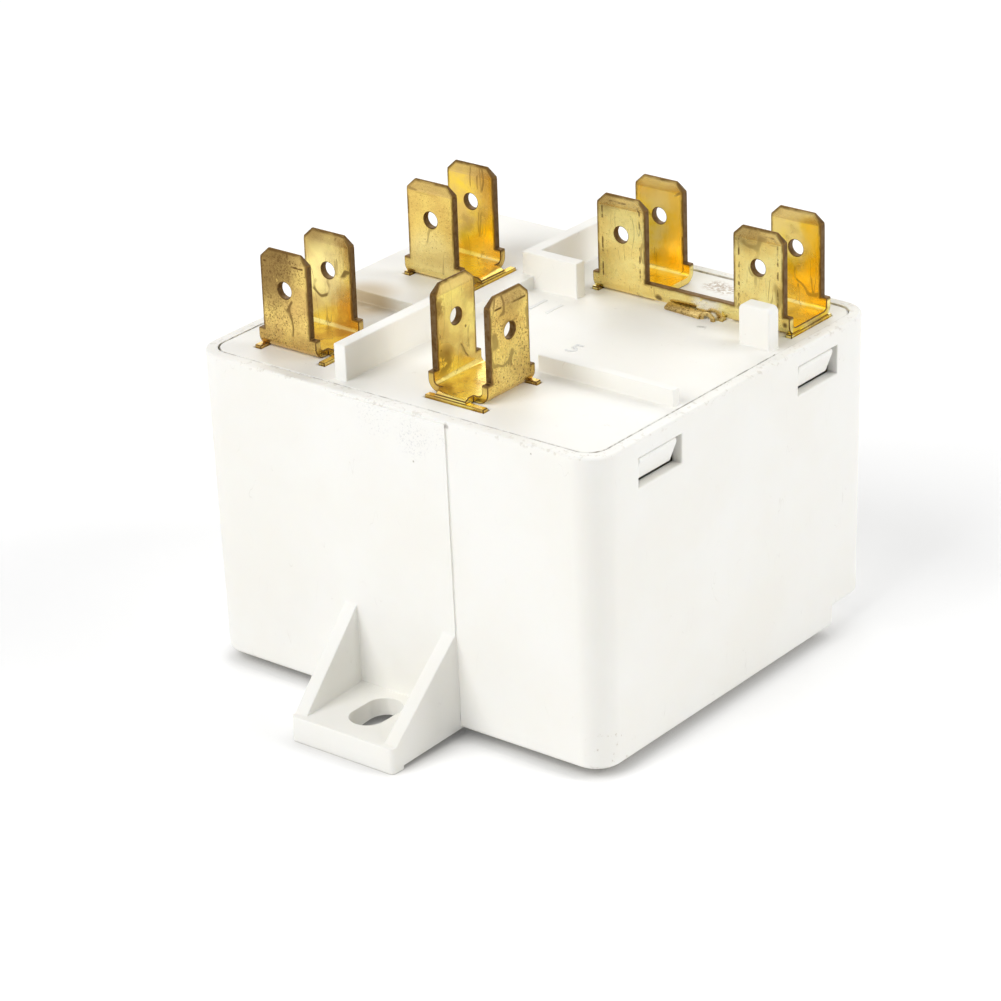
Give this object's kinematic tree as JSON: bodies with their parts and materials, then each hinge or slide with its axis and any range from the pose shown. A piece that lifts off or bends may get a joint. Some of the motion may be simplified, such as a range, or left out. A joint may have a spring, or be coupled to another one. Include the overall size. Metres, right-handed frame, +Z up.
{
  "type": "potential start relay",
  "caption": "White moulded compressor start relay with double brass push-on tabs and a slotted foot; coil, armature and double-break contact inside",
  "frame": {"origin": "on the resting plane under the middle of the case", "axes": "+Z up out of the terminal face, front face with the foot towards -Y, X along the case's length"},
  "size_m": [0.0528, 0.0589, 0.0484],
  "materials": {
    "case_plastic": "moulded thermoset polyester, warm white, satin",
    "cover_plastic": "moulded thermoset polyester, warm white, satin",
    "terminal_brass": "stamped half-hard brass, lightly tarnished",
    "magnet_steel": "zinc plated mild steel",
    "copper": "bare copper",
    "bobbin_plastic": "glass filled nylon, natural",
    "winding_copper": "enamelled copper wire, layer wound",
    "coil_tape": "polyester film tape, translucent yellow",
    "tinned_pin": "tinned bronze",
    "lead_sleeve": "glass sleeve, varnished",
    "contact_silver": "silver alloy button, satin",
    "strip_brass": "rolled brass, bright",
    "spring_bronze": "rolled phosphor bronze",
    "spring_steel": "tempered spring steel",
    "screw_steel": "zinc plated steel",
    "carrier_plastic": "glass filled phenolic, brown red"
  },
  "bodies": {
    "root": {"case": "case_plastic", "cover": "cover_plastic", "terminal_spare": "terminal_brass", "terminal_contact": "terminal_brass", "terminal_coil": "terminal_brass", "terminal_common": "terminal_brass", "yoke": "magnet_steel", "core": "magnet_steel", "shading_ring": "copper", "bobbin": "bobbin_plastic", "winding": "winding_copper", "winding_tape": "coil_tape", "coil_pin_common": "tinned_pin", "coil_pin_line": "tinned_pin", "coil_lead_line": "lead_sleeve", "coil_lead_common": "lead_sleeve", "fixed_contact_front": "contact_silver", "fixed_contact_rear": "contact_silver", "contact_strip": "strip_brass", "common_strip": "strip_brass", "return_spring": "spring_steel", "armature_retainer": "spring_steel", "retainer_screw_low": "screw_steel", "retainer_screw_high": "screw_steel"},
    "armature": {"armature": "magnet_steel", "pusher": "carrier_plastic", "contact_bridge": "strip_brass", "moving_contact_front": "contact_silver", "moving_contact_rear": "contact_silver", "bridge_spring": "spring_bronze"}
  },
  "joints": [
    {"name": "armature_hinge", "type": "hinge", "parent": "root", "child": "armature", "pos_m": [0.01853, -0.00109, 0.02158], "axis": [0, -1, 0], "range_deg": [0, 5], "stiffness_Nm_per_rad": 0.02, "springref_deg": -20.05, "deforming": ["return_spring"]}
  ]
}
